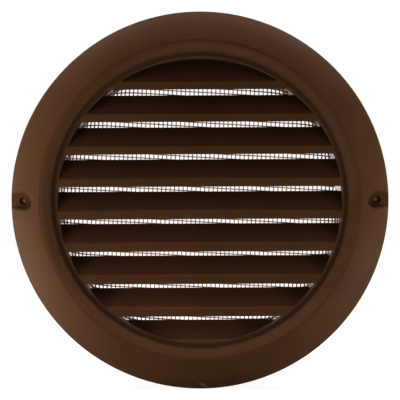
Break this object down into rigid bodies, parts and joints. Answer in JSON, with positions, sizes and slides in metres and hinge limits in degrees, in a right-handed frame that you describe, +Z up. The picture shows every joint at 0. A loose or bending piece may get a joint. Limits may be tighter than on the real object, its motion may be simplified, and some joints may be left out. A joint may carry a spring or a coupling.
{
  "type": "round louvre vent cover",
  "caption": "Round moulded vent cover with a domed flange, rolled lip, fixed sloping louvre blades, duct spigot and insect screen behind them.",
  "frame": {"origin": "on the duct axis, in the wall plane that the flange's rim rests against", "axes": "+Y along the duct axis, into the wall, +Z up as mounted, the louvre faces -Y and its blades run along X"},
  "size_m": [0.15, 0.0379, 0.15],
  "materials": {
    "brown_plastic": "satin moulded plastic, dark brown",
    "screen_wire": "fine woven coated fibre, dark"
  },
  "bodies": {
    "root": {"grille_body": "brown_plastic", "insect_screen": "screen_wire"}
  },
  "joints": []
}
